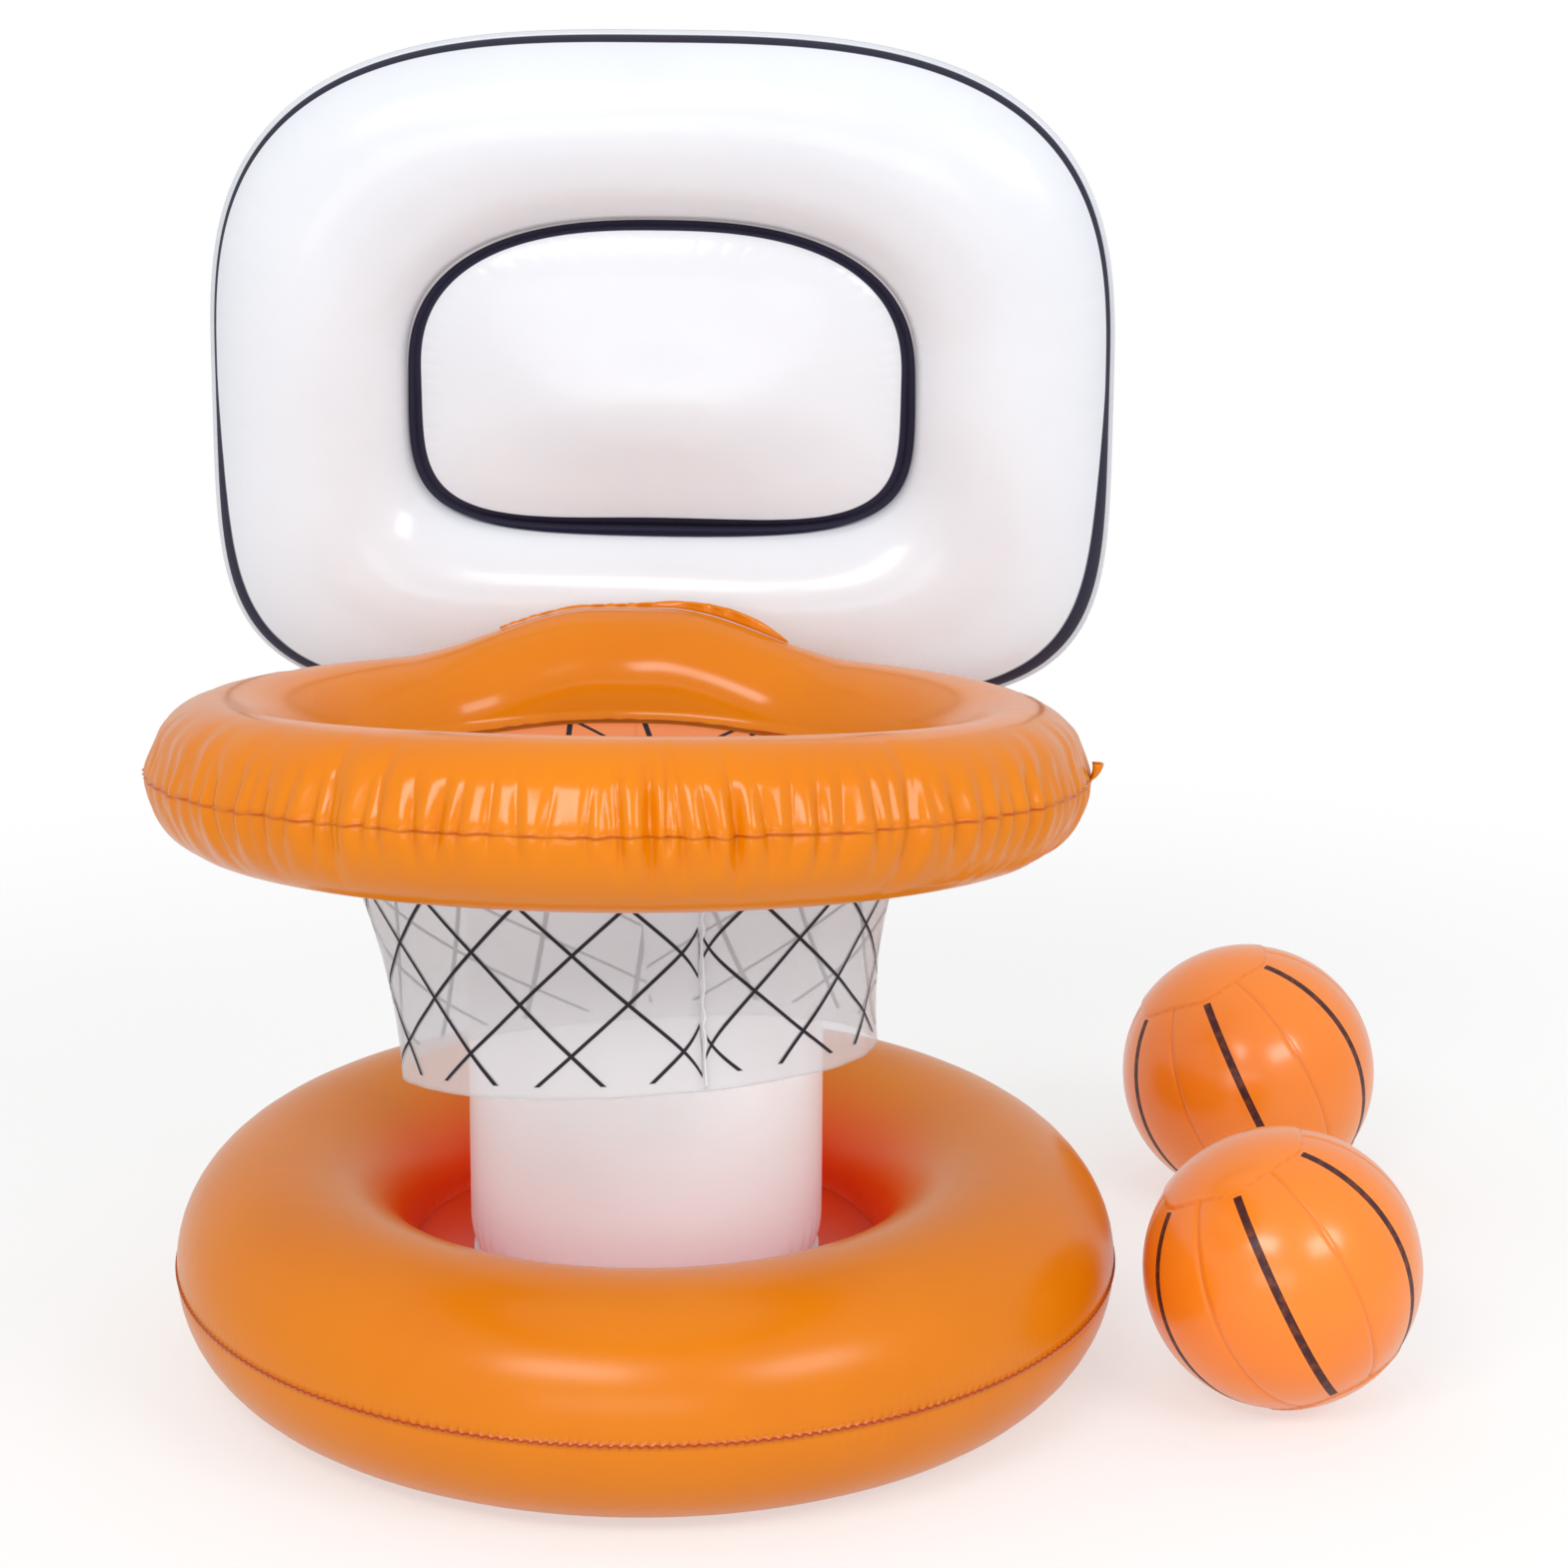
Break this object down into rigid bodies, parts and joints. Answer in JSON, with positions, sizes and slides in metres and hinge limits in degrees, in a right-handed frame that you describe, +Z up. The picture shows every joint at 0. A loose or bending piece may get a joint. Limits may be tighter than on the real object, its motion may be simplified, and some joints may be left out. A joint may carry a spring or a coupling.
{
  "type": "floating basketball hoop",
  "caption": "Inflatable pool basketball hoop: tube base, column, tilted hoop ring with film net, padded backboard and soft balls.",
  "frame": {"origin": "middle of the part's footprint box on the surface it stands on", "axes": "+Z up, the hoop hangs out towards -Y, the balls lie on the +X side"},
  "size_m": [0.8732, 0.9778, 0.9253],
  "materials": {
    "ball_film": "gloss vinyl film",
    "valve_film": "gloss, cloudy clear soft vinyl",
    "orange_film": "gloss vinyl film",
    "white_film": "gloss vinyl film",
    "net_film": "frosted clear vinyl film"
  },
  "bodies": {
    "hoop": {"base_lower_panel": "orange_film", "base_upper_panel": "orange_film", "base_valve_neck": "valve_film", "base_web": "orange_film", "board_back_panel": "white_film", "board_front_panel": "white_film", "board_valve_neck": "valve_film", "board_weld_strip": "white_film", "column_foot_disc": "white_film", "column_top_disc": "white_film", "column_valve_neck": "valve_film", "column_wall": "white_film", "hoop_lower_panel": "orange_film", "hoop_mount_lip": "orange_film", "hoop_tether_tab": "orange_film", "hoop_upper_panel": "orange_film", "hoop_valve_neck": "valve_film", "net_fin_seam": "net_film", "net_skirt": "net_film"},
    "ball_near": {"ball_near_cap_bottom": "ball_film", "ball_near_cap_top": "ball_film", "ball_near_gore_1": "ball_film", "ball_near_gore_2": "ball_film", "ball_near_gore_3": "ball_film", "ball_near_gore_4": "ball_film", "ball_near_gore_5": "ball_film", "ball_near_gore_6": "ball_film", "ball_near_valve_neck": "valve_film"},
    "ball_far": {"ball_far_cap_bottom": "ball_film", "ball_far_cap_top": "ball_film", "ball_far_gore_1": "ball_film", "ball_far_gore_2": "ball_film", "ball_far_gore_3": "ball_film", "ball_far_gore_4": "ball_film", "ball_far_gore_5": "ball_film", "ball_far_gore_6": "ball_film", "ball_far_valve_neck": "valve_film"},
    "ball_far_valve_stopper": {"ball_far_valve_stopper": "ball_film"},
    "ball_near_valve_stopper": {"ball_near_valve_stopper": "ball_film"},
    "base_valve_stopper": {"base_valve_stopper": "orange_film"},
    "board_valve_stopper": {"board_valve_stopper": "white_film"},
    "column_valve_stopper": {"column_valve_stopper": "white_film"},
    "hoop_valve_stopper": {"hoop_valve_stopper": "orange_film"}
  },
  "joints": [
    {"name": "ball_near_lift", "type": "slide", "parent": "hoop", "child": "ball_near", "axis": [0, 0, 1], "range_m": [0, 0.3]},
    {"name": "ball_far_lift", "type": "slide", "parent": "hoop", "child": "ball_far", "axis": [0, 0, 1], "range_m": [0, 0.3]},
    {"name": "ball_far_valve_pull", "type": "slide", "parent": "ball_far", "child": "ball_far_valve_stopper", "axis": [0.1168, 0.967, -0.2263], "range_m": [0, 0.009]},
    {"name": "ball_near_valve_pull", "type": "slide", "parent": "ball_near", "child": "ball_near_valve_stopper", "axis": [0.1168, 0.967, -0.2263], "range_m": [0, 0.009]},
    {"name": "base_valve_pull", "type": "slide", "parent": "hoop", "child": "base_valve_stopper", "axis": [-0.2654, 0.6408, 0.7204], "range_m": [0, 0.009]},
    {"name": "board_valve_pull", "type": "slide", "parent": "hoop", "child": "board_valve_stopper", "axis": [0, 1, 0], "range_m": [0, 0.009]},
    {"name": "column_valve_pull", "type": "slide", "parent": "hoop", "child": "column_valve_stopper", "axis": [-0.098, 0.9952, 0], "range_m": [0, 0.009]},
    {"name": "hoop_valve_pull", "type": "slide", "parent": "hoop", "child": "hoop_valve_stopper", "axis": [-0.1831, 0.0236, -0.9828], "range_m": [0, 0.009]}
  ]
}
